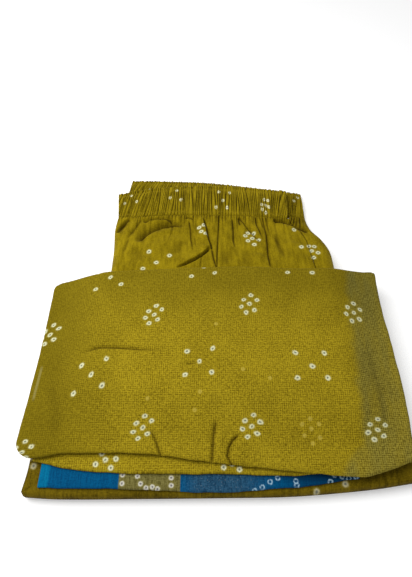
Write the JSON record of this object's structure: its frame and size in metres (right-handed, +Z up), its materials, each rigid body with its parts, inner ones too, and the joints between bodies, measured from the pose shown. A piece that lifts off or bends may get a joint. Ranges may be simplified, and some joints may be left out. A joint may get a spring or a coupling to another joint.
{
  "type": "folded kurti set",
  "caption": "Folded kurti, gathered-waist trousers and dupatta in olive-mustard cotton with tied-and-dyed dots, stacked flat.",
  "frame": {"origin": "on the surface the set lies on, under the middle of its box", "axes": "+Z up, +Y away from the stack's near edge towards the waistband, +X right"},
  "size_m": [0.5013, 0.5555, 0.0561],
  "materials": {
    "cotton": "matt olive-mustard plain-weave cotton with pale tied-and-dyed dots",
    "kurti_cotton": "matt olive-mustard plain-weave cotton, folded",
    "dupatta_cloth": "sheer slubby olive-mustard weave with pale tied-and-dyed dots",
    "border_cloth": "sheer slubby weave in blue with an olive stripe"
  },
  "bodies": {
    "root": {"kurti_folded": "kurti_cotton", "trouser_back": "cotton", "trouser_layers": "cotton", "trouser_front_left": "cotton", "trouser_front_right": "cotton", "waistband_back": "cotton", "waistband_front": "cotton", "dupatta_border": "border_cloth", "dupatta_second_leaf": "dupatta_cloth", "dupatta_layers": "dupatta_cloth", "dupatta_top_leaf": "dupatta_cloth"}
  },
  "joints": []
}
